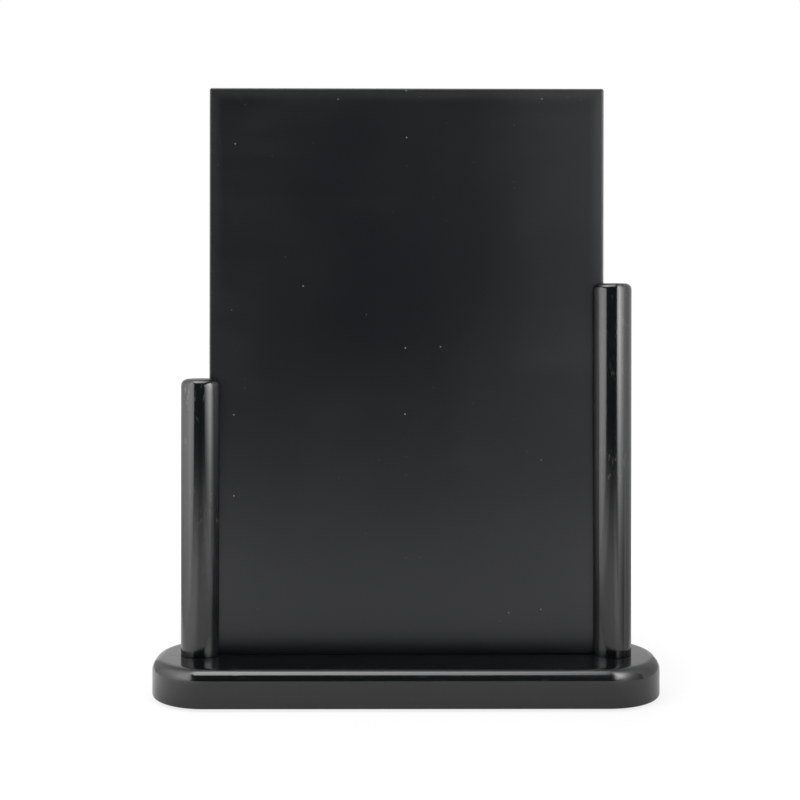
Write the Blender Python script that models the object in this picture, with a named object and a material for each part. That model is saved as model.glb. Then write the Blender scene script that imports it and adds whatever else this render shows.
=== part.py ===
"""Tabletop menu chalkboard stand.

A round-ended wooden base carries two round wooden posts of different height. Each post has an
upright slot on its inner side, and the chalkboard panel drops into the two slots from above and
stands on the base. A countersunk wood screw holds each post from underneath, and four felt pads
keep the base off the table.

Frame: X along the base, towards the tall post; Y from front to back; Z up. The origin is on the
table, under the middle of the base. Metres.
"""

import math

import bmesh
import bpy
from mathutils import Matrix, Vector

# Driving dimensions
BASE_LENGTH = 0.2680
BASE_DEPTH = 0.068
BASE_THICKNESS = 0.0196
BASE_END_RADIUS = 0.031  # of the plank's four corners, seen from above
BASE_TOP_EDGE_RADIUS = 0.0060
BASE_BOTTOM_EDGE_RADIUS = 0.0012

POST_DIAMETER = 0.0208
POST_SPACING = 0.2190  # between the two posts' axes
SHORT_POST_HEIGHT = 0.1458
TALL_POST_HEIGHT = 0.1969
POST_TOP_RADIUS = 0.0032

PANEL_WIDTH = 0.2096
PANEL_HEIGHT = 0.3005
PANEL_THICKNESS = 0.0040
PANEL_CORNER_RADIUS = 0.0012
PANEL_EDGE_RADIUS = 0.0006

SCREW_LENGTH = 0.040
SCREW_SHANK_DIAMETER = 0.0040
SCREW_HEAD_DIAMETER = 0.0080
SCREW_TIP_LENGTH = 0.0060
SCREW_RECESS_SPAN = 0.0044
SCREW_RECESS_WIDTH = 0.0010
SCREW_RECESS_DEPTH = 0.0014

PAD_DIAMETER = 0.0120
PAD_THICKNESS = 0.0010
PAD_SPACING_X = 0.1880
PAD_SPACING_Y = 0.0380

GAP = 0.0003  # between pieces that touch

# Worked out from the driving dimensions
BASE_BOTTOM_Z = PAD_THICKNESS + GAP
BASE_TOP_Z = BASE_BOTTOM_Z + BASE_THICKNESS
POST_FOOT_Z = BASE_TOP_Z + GAP
PANEL_FOOT_Z = BASE_TOP_Z + GAP
SCREW_HEAD_Z = BASE_BOTTOM_Z + GAP
SCREW_HEAD_HEIGHT = (SCREW_HEAD_DIAMETER - SCREW_SHANK_DIAMETER) / 2

ROUND_SEGMENTS = 48
EDGE_SEGMENTS = 4
SMOOTH_ANGLE = math.radians(35)
CUT_OVERRUN = 0.002  # how far a cutter runs past the faces it cuts


def make_material(name, color, roughness, metallic=0.0):
    material = bpy.data.materials.new(name)
    material.use_nodes = True
    shader = material.node_tree.nodes["Principled BSDF"]
    shader.inputs["Base Color"].default_value = (*color, 1.0)
    shader.inputs["Roughness"].default_value = roughness
    shader.inputs["Metallic"].default_value = metallic
    material.diffuse_color = (*color, 1.0)
    return material


def add_object(name, mesh, location=(0, 0, 0), material=None, parent=None):
    piece = bpy.data.objects.new(name, mesh)
    bpy.context.collection.objects.link(piece)
    piece.location = location
    piece.parent = parent
    if material is not None:
        mesh.materials.append(material)
        mesh.shade_smooth()
        mesh.set_sharp_from_angle(angle=SMOOTH_ANGLE)
    return piece


def mesh_from(bm, name):
    bmesh.ops.recalc_face_normals(bm, faces=bm.faces)
    mesh = bpy.data.meshes.new(name)
    bm.to_mesh(mesh)
    bm.free()
    return mesh


def extrude_outline(name, outline, height):
    """A flat outline in XY, from z = 0 up to the height."""
    bm = bmesh.new()
    bottom = bm.faces.new([bm.verts.new((x, y, 0.0)) for x, y in outline])
    grown = bmesh.ops.extrude_face_region(bm, geom=[bottom])
    risen = [item for item in grown["geom"] if isinstance(item, bmesh.types.BMVert)]
    bmesh.ops.translate(bm, verts=risen, vec=(0, 0, height))
    return mesh_from(bm, name)


def turn_profile(name, profile, segments=ROUND_SEGMENTS):
    """A round solid about Z from (radius, height) points; its first and last points are on the axis."""
    bm = bmesh.new()
    points = [bm.verts.new((radius, 0.0, height)) for radius, height in profile]
    edges = [bm.edges.new(pair) for pair in zip(points, points[1:])]
    bmesh.ops.spin(
        bm,
        geom=points + edges,
        cent=(0, 0, 0),
        axis=(0, 0, 1),
        angle=2 * math.pi,
        steps=segments,
        use_merge=True,
    )
    bmesh.ops.remove_doubles(bm, verts=bm.verts, dist=1e-6)
    return mesh_from(bm, name)


def add_cutter(name, mesh, location, parent=None):
    cutter = add_object(name, mesh, location, parent=parent)
    cutter.hide_render = True
    cutter.display_type = "WIRE"
    return cutter


def cut(piece, cutter):
    modifier = piece.modifiers.new(cutter.name, "BOOLEAN")
    modifier.operation = "DIFFERENCE"
    modifier.solver = "EXACT"
    modifier.object = cutter


def ease_edges(piece, width, segments=EDGE_SEGMENTS):
    bevel = piece.modifiers.new("eased_edges", "BEVEL")
    bevel.width = width
    bevel.segments = segments
    bevel.limit_method = "ANGLE"
    bevel.angle_limit = math.radians(60)


def loft(name, rings):
    """A closed solid through rings of equal length, from the lowest to the highest."""
    bm = bmesh.new()
    rows = [[bm.verts.new(point) for point in ring] for ring in rings]
    bm.faces.new(list(reversed(rows[0])))
    bm.faces.new(rows[-1])
    for low, high in zip(rows, rows[1:]):
        for step in range(len(low)):
            after = (step + 1) % len(low)
            bm.faces.new((low[step], low[after], high[after], high[step]))
    return mesh_from(bm, name)


def quarter_round(radius, steps):
    """(inset, drop) from the side face to the end face of an edge rounded to the radius."""
    turns = [math.pi / 2 * step / steps for step in range(steps + 1)]
    return [(radius * (1 - math.cos(turn)), radius * (1 - math.sin(turn))) for turn in turns]


def rounded_rectangle(width, height, radius, arc_steps):
    corners = ((1, -1, -90), (1, 1, 0), (-1, 1, 90), (-1, -1, 180))
    outline = []
    for side_x, side_y, start in corners:
        centre_x = side_x * (width / 2 - radius)
        centre_y = side_y * (height / 2 - radius)
        for step in range(arc_steps + 1):
            angle = math.radians(start + 90 * step / arc_steps)
            outline.append((centre_x + radius * math.cos(angle), centre_y + radius * math.sin(angle)))
    return outline


def box_mesh(name, size_x, size_y, size_z):
    bm = bmesh.new()
    bmesh.ops.create_cube(bm, size=1.0)
    bmesh.ops.scale(bm, verts=bm.verts, vec=(size_x, size_y, size_z))
    return mesh_from(bm, name)


def build_base(material, screw_places):
    """The plank, with a countersunk clearance hole under each post."""
    bottom_edge = quarter_round(BASE_BOTTOM_EDGE_RADIUS, EDGE_SEGMENTS // 2)
    top_edge = quarter_round(BASE_TOP_EDGE_RADIUS, 2 * EDGE_SEGMENTS)
    levels = [(inset, drop) for inset, drop in reversed(bottom_edge)]
    levels += [(inset, BASE_THICKNESS - drop) for inset, drop in top_edge]
    rings = []
    for inset, z in levels:
        outline = rounded_rectangle(
            BASE_LENGTH - 2 * inset,
            BASE_DEPTH - 2 * inset,
            BASE_END_RADIUS - inset,
            ROUND_SEGMENTS // 4,
        )
        rings.append([(x, y, z) for x, y in outline])
    base = add_object("base_plank", loft("base_plank", rings), (0, 0, BASE_BOTTOM_Z), material)
    head_radius = SCREW_HEAD_DIAMETER / 2 + GAP
    hole_radius = SCREW_SHANK_DIAMETER / 2 + GAP
    countersink_depth = GAP + head_radius - hole_radius
    hole_profile = [
        (0, -CUT_OVERRUN),
        (head_radius, -CUT_OVERRUN),
        (head_radius, GAP),
        (hole_radius, countersink_depth),
        (hole_radius, BASE_THICKNESS + CUT_OVERRUN),
        (0, BASE_THICKNESS + CUT_OVERRUN),
    ]
    for name, place in screw_places.items():
        hole = turn_profile(f"{name}_hole", hole_profile, 32)
        cut(base, add_cutter(f"{name}_hole_cutter", hole, (place.x, place.y, BASE_BOTTOM_Z)))
    return base


def build_post(name, place, height, inner_side, material):
    """A dowel with a rounded top, a slot on its inner side and a pilot hole up its middle.

    inner_side is +1 where the panel lies towards +X of the post, and -1 where it lies towards -X.
    """
    radius = POST_DIAMETER / 2
    top_edge = quarter_round(POST_TOP_RADIUS, EDGE_SEGMENTS)
    profile = [(0, 0), (radius, 0)]
    profile += [(radius - inset, height - drop) for inset, drop in top_edge]
    profile.append((0, height))
    post = add_object(name, turn_profile(name, profile), (place.x, place.y, POST_FOOT_Z), material)

    slot_bottom = abs(place.x) - PANEL_WIDTH / 2 - GAP  # from the post's axis to the slot's floor
    slot_reach = radius + CUT_OVERRUN - slot_bottom
    slot = box_mesh(f"{name}_slot", slot_reach, PANEL_THICKNESS + 2 * GAP, height + 2 * CUT_OVERRUN)
    slot_x = place.x + inner_side * (slot_bottom + slot_reach / 2)
    cut(post, add_cutter(f"{name}_slot_cutter", slot, (slot_x, place.y, POST_FOOT_Z + height / 2)))

    pilot_depth = SCREW_HEAD_Z + SCREW_LENGTH + 2 * GAP - POST_FOOT_Z
    pilot_radius = SCREW_SHANK_DIAMETER / 2 + GAP
    pilot_profile = [
        (0, -CUT_OVERRUN),
        (pilot_radius, -CUT_OVERRUN),
        (pilot_radius, pilot_depth - SCREW_TIP_LENGTH),
        (0, pilot_depth),
    ]
    pilot = turn_profile(f"{name}_pilot", pilot_profile, 32)
    cut(post, add_cutter(f"{name}_pilot_cutter", pilot, (place.x, place.y, POST_FOOT_Z)))
    return post


def build_panel(material):
    """The chalkboard. Its outline is drawn flat and then stood up, with its origin at its foot."""
    outline = rounded_rectangle(PANEL_WIDTH, PANEL_HEIGHT, PANEL_CORNER_RADIUS, EDGE_SEGMENTS)
    mesh = extrude_outline("chalkboard_panel", outline, PANEL_THICKNESS)
    stand_up = Matrix.Rotation(math.pi / 2, 4, "X")
    centre = Matrix.Translation((0, PANEL_HEIGHT / 2, -PANEL_THICKNESS / 2))
    mesh.transform(stand_up @ centre)
    slide_origin = bpy.data.objects.new("panel_slide_axis", None)
    bpy.context.collection.objects.link(slide_origin)
    slide_origin.location = (0, 0, PANEL_FOOT_Z)
    panel = add_object("chalkboard_panel", mesh, material=material, parent=slide_origin)
    ease_edges(panel, PANEL_EDGE_RADIUS, 2)
    return panel


def build_screw(name, place, material):
    """A countersunk wood screw, head down, with a cross recess. Its origin is at the head's face."""
    shank_radius = SCREW_SHANK_DIAMETER / 2
    profile = [
        (0, 0),
        (SCREW_HEAD_DIAMETER / 2, 0),
        (shank_radius, SCREW_HEAD_HEIGHT),
        (shank_radius, SCREW_LENGTH - SCREW_TIP_LENGTH),
        (0, SCREW_LENGTH),
    ]
    screw = add_object(name, turn_profile(name, profile, 24), (place.x, place.y, SCREW_HEAD_Z), material)
    for arm, size in enumerate(
        ((SCREW_RECESS_SPAN, SCREW_RECESS_WIDTH), (SCREW_RECESS_WIDTH, SCREW_RECESS_SPAN))
    ):
        bar = box_mesh(f"{name}_recess_{arm}", *size, 2 * SCREW_RECESS_DEPTH)
        cut(screw, add_cutter(f"{name}_recess_{arm}_cutter", bar, (place.x, place.y, SCREW_HEAD_Z)))
    return screw


def build_pad(name, place, material):
    radius = PAD_DIAMETER / 2
    profile = [(0, 0), (radius, 0), (radius, PAD_THICKNESS), (0, PAD_THICKNESS)]
    return add_object(name, turn_profile(name, profile, 32), (place.x, place.y, 0), material)


def clear_scene():
    for item in list(bpy.data.objects):
        bpy.data.objects.remove(item)


def main():
    clear_scene()
    short_place = Vector((-POST_SPACING / 2, 0, 0))
    tall_place = Vector((POST_SPACING / 2, 0, 0))

    build_base(
        make_material("base_lacquer", (0.012, 0.013, 0.014), 0.18),
        {"short_post": short_place, "tall_post": tall_place},
    )
    build_post(
        "short_post",
        short_place,
        SHORT_POST_HEIGHT,
        1,
        make_material("short_post_lacquer", (0.013, 0.013, 0.014), 0.2),
    )
    build_post(
        "tall_post",
        tall_place,
        TALL_POST_HEIGHT,
        -1,
        make_material("tall_post_lacquer", (0.013, 0.013, 0.014), 0.2),
    )
    build_panel(make_material("chalkboard_paint", (0.016, 0.018, 0.019), 0.5))
    for name, place in (("short_post_screw", short_place), ("tall_post_screw", tall_place)):
        build_screw(name, place, make_material(f"{name}_zinc", (0.62, 0.60, 0.55), 0.35, 1.0))
    for depth_name, side_y in (("front", -1), ("back", 1)):
        for length_name, side_x in (("left", -1), ("right", 1)):
            name = f"foot_pad_{depth_name}_{length_name}"
            place = Vector((side_x * PAD_SPACING_X / 2, side_y * PAD_SPACING_Y / 2, 0))
            build_pad(name, place, make_material(f"{name}_felt", (0.03, 0.03, 0.032), 0.95))


main()
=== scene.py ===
"""Looks of the tabletop menu chalkboard stand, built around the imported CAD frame.

Black lacquered wood for the base and the posts, satin chalkboard paint for the panel, zinc plate for
the screws and felt for the pads. All lengths are in metres, in the frame's own axes: X along the
base towards the tall post, Y from front to back, Z up.
"""

import math

import bmesh
import bpy
from mathutils import Matrix, Vector, noise


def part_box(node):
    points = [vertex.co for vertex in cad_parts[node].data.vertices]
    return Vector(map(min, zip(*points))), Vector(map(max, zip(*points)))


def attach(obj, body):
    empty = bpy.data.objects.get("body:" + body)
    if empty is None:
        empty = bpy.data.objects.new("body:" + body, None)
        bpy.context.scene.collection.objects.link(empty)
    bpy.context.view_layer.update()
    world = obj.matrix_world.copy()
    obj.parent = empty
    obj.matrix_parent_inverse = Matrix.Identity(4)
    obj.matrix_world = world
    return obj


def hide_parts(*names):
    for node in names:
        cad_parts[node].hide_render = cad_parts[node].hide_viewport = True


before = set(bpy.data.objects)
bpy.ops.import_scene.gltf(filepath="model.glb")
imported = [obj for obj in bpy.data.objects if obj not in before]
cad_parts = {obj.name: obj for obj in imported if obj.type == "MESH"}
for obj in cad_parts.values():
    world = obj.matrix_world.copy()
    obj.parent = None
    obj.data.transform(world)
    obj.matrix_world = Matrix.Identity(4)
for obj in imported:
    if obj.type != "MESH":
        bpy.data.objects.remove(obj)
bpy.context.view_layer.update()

# Fine shape, which the plain CAD solids leave out
CONTACT_GAP = 0.00004
BASE_END_RADIUS = 0.031
BASE_TOP_EDGE_RADIUS = 0.0060
BASE_BOTTOM_EDGE_RADIUS = 0.0012
POST_TOP_EDGE_RADIUS = 0.0032
POST_TOP_BORDER = 0.0006
POST_FOOT_EASE = 0.0002
SLOT_LIP = 0.0003
SLOT_CLEARANCE = 0.0003
PANEL_CORNER_RADIUS = 0.0012
PANEL_EDGE_RADIUS = 0.0009
PANEL_ROLL_OFF_WIDTH = 0.006
PANEL_ROLL_OFF_DEPTH = 0.00006
PAD_EDGE_RADIUS = 0.0003
SCREW_HOLE_RADIUS = 0.0023
SCREW_HEAD_HOLE_RADIUS = 0.0043
SCREW_HEAD_SINK = 0.0003
LACQUER_WAVE_HEIGHT = 0.00003

SMOOTH_ANGLE = math.radians(32)

# The viewpoint: a level camera whose lens is shifted down, a little to the left of the stand's front
CAMERA_DISTANCE = 0.685
CAMERA_HEIGHT = 0.2044
CAMERA_YAW = 0.0068
CAMERA_ROLL = 0.0012
CAMERA_LENS_MM = 57.83
CAMERA_SHIFT_X = -0.0083
CAMERA_SHIFT_Y = -0.1139

# The light tent's side panels: their height, then the x, y and glow of each upright, back to front
WALL_FOOT = 0.002
WALL_TOP = 0.46
LEFT_WALL = (
    (-0.26, 0.25, 0.6),
    (-0.25, 0.06, 1.2),
    (-0.25, 0.00, 2.5),
    (-0.30, -0.12, 4.7),
    (-0.42, -0.38, 4.7),
    (-0.66, -0.88, 3.6),
)
RIGHT_BACK_WALL = (
    (0.22, 0.25, 0.7),
    (0.21, 0.08, 0.9),
    (0.20, 0.00, 1.3),
    (0.198, -0.04, 2.2),
)
RIGHT_FRONT_WALL = (
    (0.198, -0.04, 2.5),
    (0.205, -0.08, 5.8),
    (0.235, -0.18, 11.5),
    (0.30, -0.40, 7.0),
    (0.44, -0.90, 3.0),
)


# ---------------------------------------------------------------------------------- mesh helpers


def finish_mesh(bm, name):
    bmesh.ops.remove_doubles(bm, verts=bm.verts, dist=1e-7)
    bmesh.ops.recalc_face_normals(bm, faces=bm.faces)
    mesh = bpy.data.meshes.new(name)
    bm.to_mesh(mesh)
    bm.free()
    return mesh


def loft(rings):
    """A closed bmesh through rings of equal length, from the lowest to the highest."""
    bm = bmesh.new()
    rows = [[bm.verts.new(point) for point in ring] for ring in rings]
    for low, high in zip(rows, rows[1:]):
        for step in range(len(low)):
            after = (step + 1) % len(low)
            bm.faces.new((low[step], low[after], high[after], high[step]))
    bm.faces.new(list(reversed(rows[0])))
    bm.faces.new(rows[-1])
    return bm


def quarter_round(radius, steps):
    """(inset, drop) pairs round an eased edge, from the side face to the end face."""
    turns = [math.pi / 2 * step / steps for step in range(steps + 1)]
    return [(radius * (1 - math.cos(turn)), radius * (1 - math.sin(turn))) for turn in turns]


def wave_surface(bm, height, scale, keep=None):
    """Sinks the surface by up to the height in slow waves, as sanded and sprayed wood does."""
    bm.normal_update()
    moves = []
    for vert in bm.verts:
        if keep is not None and keep(vert.co):
            continue
        place = Vector((vert.co.x * scale[0], vert.co.y * scale[1], vert.co.z * scale[2]))
        moves.append((vert, vert.normal * height * 0.5 * (noise.noise(place) - 1)))
    for vert, move in moves:
        vert.co += move


def add_piece(name, mesh, material, body, nodes):
    mesh.materials.clear()
    mesh.materials.append(material)
    mesh.shade_smooth()
    mesh.set_sharp_from_angle(angle=SMOOTH_ANGLE)
    piece = bpy.data.objects.new(name, mesh)
    bpy.context.scene.collection.objects.link(piece)
    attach(piece, body)
    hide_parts(*nodes)
    return piece


def carve(mesh, cutters):
    """The mesh with each cutter mesh taken out of it."""
    solid = bpy.data.objects.new("carved", mesh)
    bpy.context.scene.collection.objects.link(solid)
    tools = []
    for index, cutter_mesh in enumerate(cutters):
        tool = bpy.data.objects.new(f"cutter_{index}", cutter_mesh)
        bpy.context.scene.collection.objects.link(tool)
        modifier = solid.modifiers.new(tool.name, "BOOLEAN")
        modifier.operation = "DIFFERENCE"
        modifier.solver = "EXACT"
        modifier.object = tool
        tools.append(tool)
    bpy.context.view_layer.update()
    depsgraph = bpy.context.evaluated_depsgraph_get()
    carved = bpy.data.meshes.new_from_object(solid.evaluated_get(depsgraph))
    for item in [solid, *tools]:
        bpy.data.objects.remove(item)
    return carved


def turned_mesh(name, profile, place, segments=64):
    """A round closed mesh about an upright axis, from (radius, height) points, low to high."""
    rings = []
    for radius, height in profile:
        turns = [2 * math.pi * step / segments for step in range(segments)]
        rings.append(
            [(place.x + radius * math.cos(t), place.y + radius * math.sin(t), height) for t in turns]
        )
    return finish_mesh(loft(rings), name)


# ------------------------------------------------------------------------------- material helpers


def new_material(name):
    material = bpy.data.materials.new(name)
    material.use_nodes = True
    return material, material.node_tree, material.node_tree.nodes["Principled BSDF"]


def add_node(tree, kind, inputs=None, **settings):
    """A node with its inputs set to values, or linked where a socket is given."""
    node = tree.nodes.new(kind)
    for key, value in settings.items():
        setattr(node, key, value)
    for key, value in (inputs or {}).items():
        connect(tree, node, key, value)
    return node


def connect(tree, node, key, value):
    if isinstance(value, bpy.types.NodeSocket):
        tree.links.new(value, node.inputs[key])
    else:
        node.inputs[key].default_value = value


def object_place(tree):
    return add_node(tree, "ShaderNodeTexCoord").outputs["Object"]


def scaled_coordinates(tree, scale):
    mapping = add_node(tree, "ShaderNodeMapping", {"Vector": object_place(tree), "Scale": scale})
    return mapping.outputs["Vector"]


def coordinates_of(tree, vector):
    """The X, Y and Z sockets of a vector."""
    return add_node(tree, "ShaderNodeSeparateXYZ", {"Vector": vector}).outputs


def noise_value(tree, scale, detail=2.0, roughness=0.5):
    """Noise whose features are 1/scale across, along each axis."""
    texture = add_node(
        tree,
        "ShaderNodeTexNoise",
        {"Vector": scaled_coordinates(tree, scale), "Scale": 1.0, "Detail": detail, "Roughness": roughness},
    )
    return texture.outputs["Fac"]


def remap(tree, value, low, high, to_low=0.0, to_high=1.0):
    node = add_node(
        tree,
        "ShaderNodeMapRange",
        {"Value": value, "From Min": low, "From Max": high, "To Min": to_low, "To Max": to_high},
    )
    return node.outputs["Result"]


def mix_colors(tree, factor, first, second):
    node = add_node(tree, "ShaderNodeMix", data_type="RGBA")
    connect(tree, node, 0, factor)
    connect(tree, node, 6, (*first, 1.0) if isinstance(first, tuple) else first)
    connect(tree, node, 7, (*second, 1.0) if isinstance(second, tuple) else second)
    return node.outputs[2]


def calculate(tree, operation, first, second):
    node = add_node(tree, "ShaderNodeMath", {0: first, 1: second}, operation=operation)
    return node.outputs[0]


def bump(tree, height, distance, normal=None, strength=1.0):
    node = add_node(tree, "ShaderNodeBump", {"Height": height, "Distance": distance, "Strength": strength})
    if normal is not None:
        tree.links.new(normal, node.inputs["Normal"])
    return node.outputs["Normal"]


# -------------------------------------------------------------------------------------- materials


def lacquer_material(name, grain_axis, pore_amount):
    """Black gloss lacquer over close-grained wood.

    Each pore is painted pale, a painted highlight for the glints it catches in the gloss. They show
    in patches of open grain, as much as the pore amount sets, and less lower down. The lacquer is
    duller over the end grain.
    """
    material, tree, shader = new_material(name)
    z = coordinates_of(tree, object_place(tree))["Z"]
    facing = add_node(tree, "ShaderNodeNewGeometry").outputs["Normal"]
    along_grain = coordinates_of(tree, facing)[grain_axis]
    end_grain = remap(tree, calculate(tree, "ABSOLUTE", along_grain, 0.0), 0.93, 0.99)
    across, along = 850.0, 190.0
    grain_scale = tuple(along if axis == grain_axis else across for axis in range(3))
    fibre_scale = tuple(12.0 if axis == grain_axis else 260.0 for axis in range(3))

    open_grain = remap(tree, noise_value(tree, (45.0, 45.0, 45.0), 2.0), 0.38, 0.55)
    pores_and_glints = remap(tree, noise_value(tree, grain_scale, 3.0, 0.6), 0.58, 0.68)
    shown_by_height = remap(tree, z, 0.085, 0.115, 0.2 * pore_amount, pore_amount)
    pores_and_glints = calculate(tree, "MULTIPLY", pores_and_glints, calculate(tree, "MULTIPLY", open_grain, shown_by_height))
    fibres = noise_value(tree, fibre_scale, 3.0)
    patches = noise_value(tree, (16.0, 16.0, 16.0), 2.0)
    peel = noise_value(tree, (420.0, 420.0, 420.0), 1.0)

    black = mix_colors(tree, fibres, (0.0009, 0.0013, 0.0014), (0.0021, 0.0028, 0.0030))
    # Painted highlight: each pore is painted pale, for the glints it catches in the gloss.
    black = mix_colors(tree, pores_and_glints, black, (0.050, 0.050, 0.047))
    roughness = remap(tree, patches, 0.3, 0.7, 0.10, 0.17)
    roughness = calculate(tree, "ADD", roughness, calculate(tree, "MULTIPLY", pores_and_glints, 0.08))
    roughness = calculate(tree, "ADD", roughness, calculate(tree, "MULTIPLY", end_grain, 0.30))

    normal = bump(tree, peel, 0.000010)
    normal = bump(tree, fibres, 0.000012, normal)
    normal = bump(tree, pores_and_glints, -0.000015, normal)
    connect(tree, shader, "Base Color", black)
    connect(tree, shader, "Roughness", roughness)
    connect(tree, shader, "IOR", 1.5)
    connect(tree, shader, "Normal", normal)
    return material


def chalkboard_material():
    """Satin black chalkboard paint: a fine orange peel, faint wiped haze and a few specks of dust."""
    material, tree, shader = new_material("chalkboard_paint")
    speckle = noise_value(tree, (1500.0, 1500.0, 1500.0), 2.0, 0.6)
    peel = noise_value(tree, (600.0, 600.0, 600.0), 1.0)
    haze = noise_value(tree, (9.0, 9.0, 7.0), 3.0)
    wipes = noise_value(tree, (14.0, 14.0, 70.0), 3.0)

    paint = mix_colors(tree, speckle, (0.0004, 0.0008, 0.0014), (0.0010, 0.0017, 0.0027))
    wiped = calculate(tree, "MULTIPLY", remap(tree, haze, 0.45, 0.75), remap(tree, wipes, 0.4, 0.8))
    paint = mix_colors(tree, calculate(tree, "MULTIPLY", wiped, 0.5), paint, (0.009, 0.010, 0.010))
    # Painted sheen, partly edge wear: the top and side edges are painted lighter.
    paint = mix_colors(tree, edge_sheen_and_wear(tree), paint, (0.0065, 0.0070, 0.0070))
    paint = mix_colors(tree, dust_specks(tree, 55.0, 0.022, 0.93), paint, (0.09, 0.09, 0.085))
    paint = mix_colors(tree, dust_specks(tree, 140.0, 0.040, 0.965), paint, (0.04, 0.04, 0.04))

    normal = bump(tree, peel, 0.000008)
    normal = bump(tree, speckle, 0.000006, normal)
    connect(tree, shader, "Base Color", paint)
    connect(tree, shader, "Roughness", remap(tree, haze, 0.3, 0.7, 0.29, 0.35))
    connect(tree, shader, "IOR", 1.46)
    connect(tree, shader, "Normal", normal)
    return material


def edge_sheen_and_wear(tree):
    """1 at the panel's top and side edges, fading out over a band about 5 mm wide: partly wear from
    handling, partly a painted sheen.

    The sides are lightened less the lower they are.
    """
    low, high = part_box("chalkboard_panel")
    place = coordinates_of(tree, object_place(tree))
    middle = calculate(tree, "SUBTRACT", place["X"], (low.x + high.x) / 2)
    from_side = calculate(tree, "SUBTRACT", (high.x - low.x) / 2, calculate(tree, "ABSOLUTE", middle, 0.0))
    from_top = calculate(tree, "SUBTRACT", high.z, place["Z"])
    from_edge = calculate(tree, "MINIMUM", from_side, from_top)
    ragged = calculate(tree, "MULTIPLY", noise_value(tree, (300.0, 300.0, 60.0), 3.0), 0.004)
    edge_lightening = remap(tree, calculate(tree, "SUBTRACT", from_edge, ragged), 0.001, 0.005, 1.0, 0.0)
    return calculate(tree, "MULTIPLY", edge_lightening, remap(tree, place["Z"], 0.17, 0.31))


def dust_specks(tree, density, size, sparseness):
    """1 on scattered specks, 0 elsewhere. The size is a share of the spacing, 1/density."""
    place = coordinates_of(tree, object_place(tree))
    on_face = add_node(tree, "ShaderNodeCombineXYZ", {"X": place["X"], "Y": place["Z"]})
    cells = add_node(
        tree,
        "ShaderNodeTexVoronoi",
        {"Vector": on_face.outputs["Vector"], "Scale": density},
        voronoi_dimensions="2D",
    )
    near = calculate(tree, "LESS_THAN", cells.outputs["Distance"], size)
    shade = add_node(tree, "ShaderNodeSeparateColor", {"Color": cells.outputs["Color"]})
    chosen = calculate(tree, "GREATER_THAN", shade.outputs["Red"], sparseness)
    return calculate(tree, "MULTIPLY", near, chosen)


def zinc_material():
    """Bright zinc plate with a faint yellow passivation and fine turning marks."""
    material, tree, shader = new_material("zinc_plate")
    cloud = noise_value(tree, (500.0, 500.0, 500.0), 3.0)
    marks = noise_value(tree, (2500.0, 2500.0, 9000.0), 2.0)
    connect(tree, shader, "Base Color", mix_colors(tree, cloud, (0.66, 0.62, 0.50), (0.60, 0.61, 0.62)))
    connect(tree, shader, "Metallic", 1.0)
    connect(tree, shader, "Roughness", remap(tree, cloud, 0.3, 0.7, 0.22, 0.38))
    connect(tree, shader, "Normal", bump(tree, marks, 0.000004))
    return material


def felt_material():
    """Dense black felt: matted fibres with a soft sheen."""
    material, tree, shader = new_material("black_felt")
    fibres = noise_value(tree, (3500.0, 3500.0, 3500.0), 4.0, 0.7)
    tufts = noise_value(tree, (700.0, 700.0, 700.0), 2.0)
    felt = mix_colors(tree, fibres, (0.010, 0.010, 0.011), (0.050, 0.050, 0.052))
    connect(tree, shader, "Base Color", felt)
    connect(tree, shader, "Roughness", 0.95)
    connect(tree, shader, "Sheen Weight", 0.4)
    connect(tree, shader, "Normal", bump(tree, fibres, 0.00008, bump(tree, tufts, 0.00010)))
    return material


# ------------------------------------------------------------------------------------------- base


def plank_ring(length, depth, inset, height, arc_steps=36):
    """Points round the plank's outline, drawn in by the inset, at one height."""
    half_x, half_y = length / 2 - BASE_END_RADIUS, depth / 2 - BASE_END_RADIUS
    radius = BASE_END_RADIUS - inset
    sides = ((1, -1, -90), (1, 1, 0), (-1, 1, 90), (-1, -1, 180))
    end_steps, front_steps = 4, 56
    corners = []
    for side_x, side_y, start in sides:
        arc = []
        for step in range(arc_steps + 1):
            turn = math.radians(start + 90 * step / arc_steps)
            x = side_x * half_x + radius * math.cos(turn)
            arc.append(Vector((x, side_y * half_y + radius * math.sin(turn), height)))
        corners.append(arc)
    ring = []
    for index, arc in enumerate(corners):
        straight_steps = front_steps if index % 2 else end_steps
        after = corners[(index + 1) % 4][0]
        ring += arc
        ring += [arc[-1].lerp(after, step / straight_steps) for step in range(1, straight_steps)]
    return ring


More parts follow.
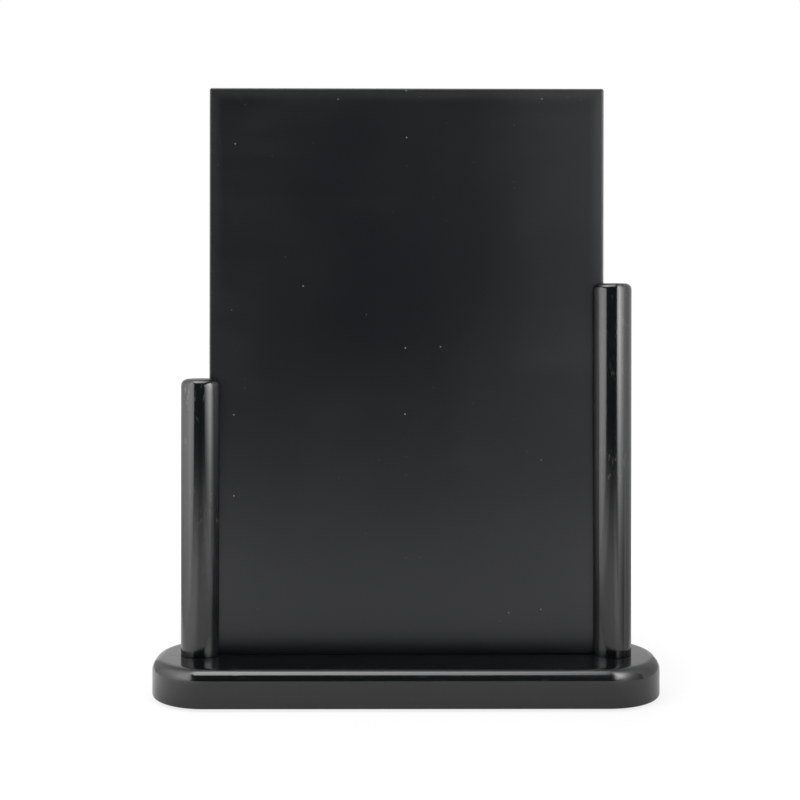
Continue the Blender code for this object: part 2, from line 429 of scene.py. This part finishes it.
def build_base(material, screw_places):
    """The plank: nested rings make both flats, so that the waves in the lacquer run across them."""
    low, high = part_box("base_plank")
    length, depth = high.x - low.x, high.y - low.y
    flat_steps = 9
    inmost = BASE_END_RADIUS - 0.0005
    levels = []
    for step in range(flat_steps):
        share = 1 - step / flat_steps
        levels.append((BASE_BOTTOM_EDGE_RADIUS + (inmost - BASE_BOTTOM_EDGE_RADIUS) * share, low.z))
    levels += [(inset, low.z + drop) for inset, drop in reversed(quarter_round(BASE_BOTTOM_EDGE_RADIUS, 5))]
    side = high.z - BASE_TOP_EDGE_RADIUS - low.z - BASE_BOTTOM_EDGE_RADIUS
    levels += [(0.0, low.z + BASE_BOTTOM_EDGE_RADIUS + side * share) for share in (0.25, 0.5, 0.75)]
    levels += [(inset, high.z - drop) for inset, drop in quarter_round(BASE_TOP_EDGE_RADIUS, 12)]
    for step in range(1, flat_steps + 1):
        share = step / flat_steps
        levels.append((BASE_TOP_EDGE_RADIUS + (inmost - BASE_TOP_EDGE_RADIUS) * share, high.z))
    bm = loft([plank_ring(length, depth, inset, height) for inset, height in levels])
    bmesh.ops.recalc_face_normals(bm, faces=bm.faces)
    under_panel = 0.0035
    wave_surface(bm, LACQUER_WAVE_HEIGHT, (26.0, 40.0, 40.0), keep=lambda co: abs(co.y) < under_panel)
    mesh = finish_mesh(bm, "base_plank_body")

    overrun = 0.002
    cone_start = low.z + SCREW_HEAD_SINK
    cone_end = cone_start + SCREW_HEAD_HOLE_RADIUS - SCREW_HOLE_RADIUS
    profile = [
        (SCREW_HEAD_HOLE_RADIUS, low.z - overrun),
        (SCREW_HEAD_HOLE_RADIUS, cone_start),
        (SCREW_HOLE_RADIUS, cone_end),
        (SCREW_HOLE_RADIUS, high.z + overrun),
    ]
    cutters = [turned_mesh("screw_hole", profile, place) for place in screw_places]
    mesh = carve(mesh, cutters)
    return add_piece("base_plank_body", mesh, material, "stand", ["base_plank"])


# ------------------------------------------------------------------------------------------ posts


def post_axis(node, inner_side):
    """The middle of the post, seen from above. The inner side, where its slot is, is +1 or -1 along X."""
    low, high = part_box(node)
    radius = (high.y - low.y) / 2
    return Vector((low.x + radius if inner_side > 0 else high.x - radius, 0.0))


def post_ring(radius, slot_half, slot_floor, arc_steps=120, lip_steps=4, wall_steps=4):
    """Points round a dowel with a slot in its +X side. The slot's two lips are eased."""
    start = math.asin((slot_half + SLOT_LIP) / radius)
    ring = []
    for step in range(arc_steps + 1):
        turn = start + (2 * math.pi - 2 * start) * step / arc_steps
        ring.append(Vector((radius * math.cos(turn), radius * math.sin(turn))))
    corner = Vector((math.sqrt(radius**2 - slot_half**2), -slot_half))
    inner = corner - Vector((SLOT_LIP, 0))
    outer = ring[-1].copy()
    half = []
    for step in range(1, lip_steps + 1):
        share = step / lip_steps
        half.append(outer * (1 - share) ** 2 + corner * 2 * share * (1 - share) + inner * share**2)
    floor_corner = Vector((slot_floor, -slot_half))
    half += [inner.lerp(floor_corner, step / wall_steps) for step in range(1, wall_steps + 1)]
    ring += half
    ring += [Vector((point.x, -point.y)) for point in reversed(half)]
    return ring


def build_post(name, node, inner_side, material):
    """A dowel with a rounded top, slotted on its inner side, with the screw's hole up its middle."""
    low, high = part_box(node)
    panel_low, panel_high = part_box("chalkboard_panel")
    base_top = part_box("base_plank")[1].z
    radius = (high.y - low.y) / 2
    axis_x = low.x + radius if inner_side > 0 else high.x - radius
    slot_half = (panel_high.y - panel_low.y) / 2 + SLOT_CLEARANCE
    panel_edge = panel_low.x if inner_side > 0 else panel_high.x
    slot_floor = abs(panel_edge - axis_x) - SLOT_CLEARANCE
    foot = base_top + CONTACT_GAP

    levels = [(inset, foot + drop) for inset, drop in reversed(quarter_round(POST_FOOT_EASE, 2))]
    body_steps = 48
    body_top = high.z - POST_TOP_EDGE_RADIUS
    for step in range(1, body_steps):
        levels.append((0.0, foot + POST_FOOT_EASE + (body_top - foot - POST_FOOT_EASE) * step / body_steps))
    levels += [(inset, high.z - drop) for inset, drop in quarter_round(POST_TOP_EDGE_RADIUS, 12)]
    levels.append((POST_TOP_EDGE_RADIUS + POST_TOP_BORDER, high.z))
    rings = []
    for inset, height in levels:
        depth = min(high.z - height, SLOT_LIP)
        ease = SLOT_LIP - math.sqrt(SLOT_LIP**2 - (SLOT_LIP - depth) ** 2)
        outline = post_ring(radius - inset, slot_half + ease, slot_floor - ease)
        rings.append([(axis_x + inner_side * p.x, inner_side * p.y, height) for p in outline])
    bm = loft(rings)
    bmesh.ops.recalc_face_normals(bm, faces=bm.faces)

    def left_true(co):
        in_slot = math.hypot(co.x - axis_x, co.y) < radius - 0.0004
        near_top = co.z > high.z - 0.0012
        return in_slot or near_top

    wave_surface(bm, LACQUER_WAVE_HEIGHT, (70.0, 70.0, 18.0), keep=left_true)
    mesh = finish_mesh(bm, name)

    screw_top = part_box(f"{node}_screw")[1].z
    profile = [
        (SCREW_HOLE_RADIUS, foot - 0.002),
        (SCREW_HOLE_RADIUS, screw_top - 0.004),
        (0.0002, screw_top + 0.001),
    ]
    mesh = carve(mesh, [turned_mesh(f"{name}_hole", profile, post_axis(node, inner_side))])
    return add_piece(name, mesh, material, "stand", [node])


# ------------------------------------------------------------------------------------------ panel


def rectangle_ring(width, height, corner, inset, y, side_steps=24, corner_steps=8):
    """Points round an upright rounded rectangle centred on the axis, drawn in by the inset."""
    half_w, half_h = width / 2 - inset, height / 2 - inset
    radius = max(corner - inset, 0.0002)
    corners = ((1, -1, -90), (1, 1, 0), (-1, 1, 90), (-1, -1, 180))
    ring = []
    for index, (side_x, side_z, start) in enumerate(corners):
        centre = Vector((side_x * (half_w - radius), side_z * (half_h - radius)))
        arc = []
        for step in range(corner_steps + 1):
            turn = math.radians(start + 90 * step / corner_steps)
            arc.append(centre + Vector((radius * math.cos(turn), radius * math.sin(turn))))
        ring += arc
        next_x, next_z, next_start = corners[(index + 1) % 4]
        next_centre = Vector((next_x * (half_w - radius), next_z * (half_h - radius)))
        turn = math.radians(next_start)
        next_point = next_centre + Vector((radius * math.cos(turn), radius * math.sin(turn)))
        ring += [arc[-1].lerp(next_point, step / side_steps) for step in range(1, side_steps)]
    return [(point.x, y, point.y) for point in ring]


def build_panel(material):
    """The board: eased edges, and faces that fall away very slightly near them."""
    low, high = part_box("chalkboard_panel")
    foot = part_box("base_plank")[1].z + CONTACT_GAP
    width, height = high.x - low.x, high.z - foot
    half = (high.y - low.y) / 2
    front = []
    for step in range(7):
        share = step / 6
        inset = PANEL_EDGE_RADIUS + PANEL_ROLL_OFF_WIDTH * (1 - share)
        front.append((inset, -half + PANEL_ROLL_OFF_DEPTH * share**2))
    edge_half = half - PANEL_ROLL_OFF_DEPTH
    for inset, drop in list(reversed(quarter_round(PANEL_EDGE_RADIUS, 6)))[1:]:
        front.append((inset, -edge_half + drop))
    levels = front + [(inset, -y) for inset, y in reversed(front)]
    rings = [rectangle_ring(width, height, PANEL_CORNER_RADIUS, inset, y) for inset, y in levels]
    bm = loft(rings)
    bmesh.ops.translate(bm, verts=bm.verts, vec=((low.x + high.x) / 2, 0.0, foot + height / 2))
    mesh = finish_mesh(bm, "board_panel")
    return add_piece("board_panel", mesh, material, "panel", ["chalkboard_panel"])


# ----------------------------------------------------------------------------------------- screws


def screw_radius(height, turn, length):
    """Radius of a countersunk wood screw at a height above its head's face, and at one turn."""
    head, shank, core, crest, pitch = 0.0039, 0.0017, 0.00125, 0.00195, 0.0018
    rim, cone_end, thread_start, taper_start = 0.0002, 0.0024, 0.012, length - 0.006
    if height <= rim:
        return head
    if height < cone_end:
        return head + (shank - head) * (height - rim) / (cone_end - rim)
    if height < thread_start:
        return shank
    taper = max(0.0, (height - taper_start) / (length - taper_start))
    run_in = min(1.0, (height - thread_start) / pitch)
    phase = (height / pitch - turn / (2 * math.pi)) % 1.0
    ridge = max(0.0, 1 - abs(phase - 0.5) / 0.28)
    body = shank + (core - shank) * run_in
    grown = body + max(0.0, crest - body) * ridge * run_in
    return max(0.00004, grown * (1 - taper))


def recess_cutter(place, mouth):
    """A cross-shaped driver recess that narrows as it goes in."""
    rings = []
    for height, arm, width in ((mouth - 0.0005, 0.0025, 0.0006), (mouth + 0.0019, 0.0007, 0.00028)):
        ring = []
        for quarter in range(4):
            turn = Matrix.Rotation(quarter * math.pi / 2, 2)
            for point in ((arm, -width), (arm, width), (width, width)):
                moved = turn @ Vector(point)
                ring.append((place.x + moved.x, place.y + moved.y, height))
        rings.append(ring)
    return finish_mesh(loft(rings), "recess")


def build_screw(name, node, material):
    low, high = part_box(node)
    place = Vector(((low.x + high.x) / 2, (low.y + high.y) / 2))
    length = high.z - low.z
    around, rows = 48, 170
    rings = []
    for row in range(rows + 1):
        height = length * row / rows
        ring = []
        for step in range(around):
            turn = 2 * math.pi * step / around
            radius = screw_radius(height, turn, length)
            x = place.x + radius * math.cos(turn)
            ring.append((x, place.y + radius * math.sin(turn), low.z + height))
        rings.append(ring)
    mesh = carve(finish_mesh(loft(rings), name), [recess_cutter(place, low.z)])
    return add_piece(name, mesh, material, "stand", [node])


# ------------------------------------------------------------------------------------------- pads


def build_pad(name, node, material):
    """A felt disc whose rim is a little ragged."""
    low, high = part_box(node)
    centre = (low + high) / 2
    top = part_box("base_plank")[0].z - CONTACT_GAP
    radius = (high.x - low.x) / 2
    levels = [(inset, low.z + drop) for inset, drop in reversed(quarter_round(PAD_EDGE_RADIUS, 3))]
    levels += [(0.0, (low.z + top) / 2)]
    levels += [(inset, top - drop) for inset, drop in quarter_round(PAD_EDGE_RADIUS, 3)]
    around = 96
    rings = []
    for inset, height in levels:
        ring = []
        for step in range(around):
            turn = 2 * math.pi * step / around
            spot = Vector((centre.x + math.cos(turn), centre.y + math.sin(turn), height * 400)) * 9
            ragged = 0.00012 * (noise.noise(spot) - 1) / 2
            reach = radius - inset + ragged
            ring.append((centre.x + reach * math.cos(turn), centre.y + reach * math.sin(turn), height))
        rings.append(ring)
    return add_piece(name, finish_mesh(loft(rings), name), material, "stand", [node])


# -------------------------------------------------------------------------------------- the stage


def flat_sheet(name, quads, material):
    bm = bmesh.new()
    for corners in quads:
        bm.faces.new([bm.verts.new(corner) for corner in corners])
    mesh = bpy.data.meshes.new(name)
    bm.to_mesh(mesh)
    bm.free()
    mesh.materials.append(material)
    sheet = bpy.data.objects.new(name, mesh)
    bpy.context.scene.collection.objects.link(sheet)
    return sheet


def camera_ray(tree):
    return add_node(tree, "ShaderNodeLightPath").outputs["Is Camera Ray"]


def build_floor():
    """A pale floor, painted darker in front of the stand and far off as shade. The camera sees it as white
    paper, with only the shadow right under the stand.
    """
    material = bpy.data.materials.new("pale_floor")
    material.use_nodes = True
    tree = material.node_tree
    tree.nodes.clear()
    place = object_place(tree)
    away = add_node(tree, "ShaderNodeVectorMath", {0: place}, operation="LENGTH").outputs["Value"]
    aside = calculate(tree, "ABSOLUTE", coordinates_of(tree, place)["X"], 0.0)
    # Painted shade: the floor is darker in front of the stand than beside it, and fades far off.
    shade_near_stand = remap(tree, aside, 0.12, 0.19, 0.42, 0.70)
    floor_shade = calculate(tree, "MULTIPLY", shade_near_stand, remap(tree, away, 0.35, 1.15, 1.0, 0.07))
    matt = add_node(tree, "ShaderNodeBsdfDiffuse", {"Color": floor_shade})
    paper = add_node(tree, "ShaderNodeEmission", {"Strength": remap(tree, away, 0.12, 0.4, 1.0, 1.3)})
    share = calculate(tree, "MULTIPLY", camera_ray(tree), 0.82)
    mixed = add_node(tree, "ShaderNodeMixShader", {0: share, 1: matt.outputs[0], 2: paper.outputs[0]})
    add_node(tree, "ShaderNodeOutputMaterial", {"Surface": mixed.outputs[0]})
    reach = 4.0
    corners = ((-reach, -reach, 0), (reach, -reach, 0), (reach, reach, 0), (-reach, reach, 0))
    return flat_sheet("floor", [corners], material)


def build_light_wall(name, outline, foot_share, fade):
    """A curved side panel of a light tent. Each (x, y, glow) of its outline stands for an upright.

    Between the fade's two heights the glow grows from the foot share of its strength to all of it.
    """
    material = bpy.data.materials.new(name)
    material.use_nodes = True
    tree = material.node_tree
    tree.nodes.clear()
    z = coordinates_of(tree, object_place(tree))["Z"]
    rise = add_node(
        tree,
        "ShaderNodeMapRange",
        {"Value": z, "From Min": fade[0], "From Max": fade[1], "To Min": foot_share, "To Max": 1.0},
        interpolation_type="SMOOTHSTEP",
    )
    glow = add_node(tree, "ShaderNodeAttribute", attribute_name="glow").outputs["Fac"]
    strength = calculate(tree, "MULTIPLY", rise.outputs["Result"], glow)
    light = add_node(tree, "ShaderNodeEmission", {"Strength": strength})
    add_node(tree, "ShaderNodeOutputMaterial", {"Surface": light.outputs[0]})

    quads = []
    glows = []
    for (x, y, here), (next_x, next_y, there) in zip(outline, outline[1:]):
        foot = ((x, y, WALL_FOOT), (next_x, next_y, WALL_FOOT))
        top = ((next_x, next_y, WALL_TOP), (x, y, WALL_TOP))
        quads.append(foot + top)
        glows += [here, there, there, here]
    wall = flat_sheet(name, quads, material)
    values = wall.data.attributes.new("glow", "FLOAT", "POINT")
    values.data.foreach_set("value", glows)
    wall.visible_camera = False
    wall.visible_shadow = False
    return wall


def build_top_light():
    """An overhead softbox that leans out in front of the stand and is dimmer on its right."""
    data = bpy.data.lights.new("top_softbox", "AREA")
    data.shape = "RECTANGLE"
    data.size = 0.78
    data.size_y = 0.66
    data.energy = 11.6
    light = bpy.data.objects.new("top_softbox", data)
    light.location = (-0.13, -0.25, 0.90)
    light.visible_camera = False
    bpy.context.scene.collection.objects.link(light)

    data.use_nodes = True
    tree = data.node_tree
    place = add_node(tree, "ShaderNodeNewGeometry").outputs["Position"]
    x = coordinates_of(tree, place)["X"]
    connect(tree, tree.nodes["Emission"], "Strength", remap(tree, x, -0.25, 0.26, 1.05, 0.55))
    return light


def build_world():
    """White paper behind the stand and a dim room in front. The camera sees white all round."""
    world = bpy.data.worlds.new("studio")
    world.use_nodes = True
    tree = world.node_tree
    tree.nodes.clear()
    direction = add_node(tree, "ShaderNodeTexCoord").outputs["Generated"]
    towards = coordinates_of(tree, direction)
    paper = remap(tree, towards["X"], -0.3, 0.3, 1.0, 0.8)
    room = remap(tree, towards["Y"], -0.25, 0.05, 0.06, paper)
    seen = add_node(tree, "ShaderNodeMix", {0: camera_ray(tree), 2: room, 3: 1.0}, data_type="FLOAT")
    white = (1.0, 1.0, 1.0, 1.0)
    glow = add_node(tree, "ShaderNodeBackground", {"Color": white, "Strength": seen.outputs[0]})
    add_node(tree, "ShaderNodeOutputWorld", {"Surface": glow.outputs[0]})
    bpy.context.scene.world = world
    return world


def build_camera():
    """The main viewpoint. The lens shift applies only there, so other views stay centred."""
    data = bpy.data.cameras.new("camera")
    data.lens = CAMERA_LENS_MM
    data.sensor_width = 36.0
    camera = bpy.data.objects.new("camera", data)
    bpy.context.scene.collection.objects.link(camera)
    aim = Matrix.Rotation(-CAMERA_YAW, 4, "Z") @ Matrix.Rotation(math.pi / 2, 4, "X")
    aim = aim @ Matrix.Rotation(CAMERA_ROLL, 4, "Z")
    camera.rotation_euler = aim.to_euler()
    camera.location = (
        -CAMERA_DISTANCE * math.sin(CAMERA_YAW),
        -CAMERA_DISTANCE * math.cos(CAMERA_YAW),
        CAMERA_HEIGHT,
    )
    for path, shift in (("shift_x", CAMERA_SHIFT_X), ("shift_y", CAMERA_SHIFT_Y)):
        driver = data.driver_add(path).driver
        variable = driver.variables.new()
        variable.name = "height"
        variable.targets[0].id = camera
        variable.targets[0].data_path = "location[2]"
        driver.expression = f"{shift} if abs(height - {CAMERA_HEIGHT}) < 0.00001 else 0"
    bpy.context.scene.camera = camera
    return camera


# --------------------------------------------------------------------------------------- assembly


post_places = [post_axis("short_post", 1), post_axis("tall_post", -1)]
build_base(lacquer_material("base_lacquer", 0, 0.5), post_places)
build_post("short_post_dowel", "short_post", 1, lacquer_material("short_post_lacquer", 2, 0.9))
build_post("tall_post_dowel", "tall_post", -1, lacquer_material("tall_post_lacquer", 2, 0.4))
build_panel(chalkboard_material())
zinc = zinc_material()
build_screw("short_post_wood_screw", "short_post_screw", zinc)
build_screw("tall_post_wood_screw", "tall_post_screw", zinc)
felt = felt_material()
for corner in ("front_left", "front_right", "back_left", "back_right"):
    build_pad(f"felt_pad_{corner}", f"foot_pad_{corner}", felt)

build_floor()
build_light_wall("left_wall", LEFT_WALL, 0.62, (0.0, 0.15))
build_light_wall("right_back_wall", RIGHT_BACK_WALL, 0.60, (0.0, 0.20))
build_light_wall("right_front_wall", RIGHT_FRONT_WALL, 0.18, (0.02, 0.225))
build_top_light()
build_world()
build_camera()
bpy.context.scene.view_settings.view_transform = "Standard"
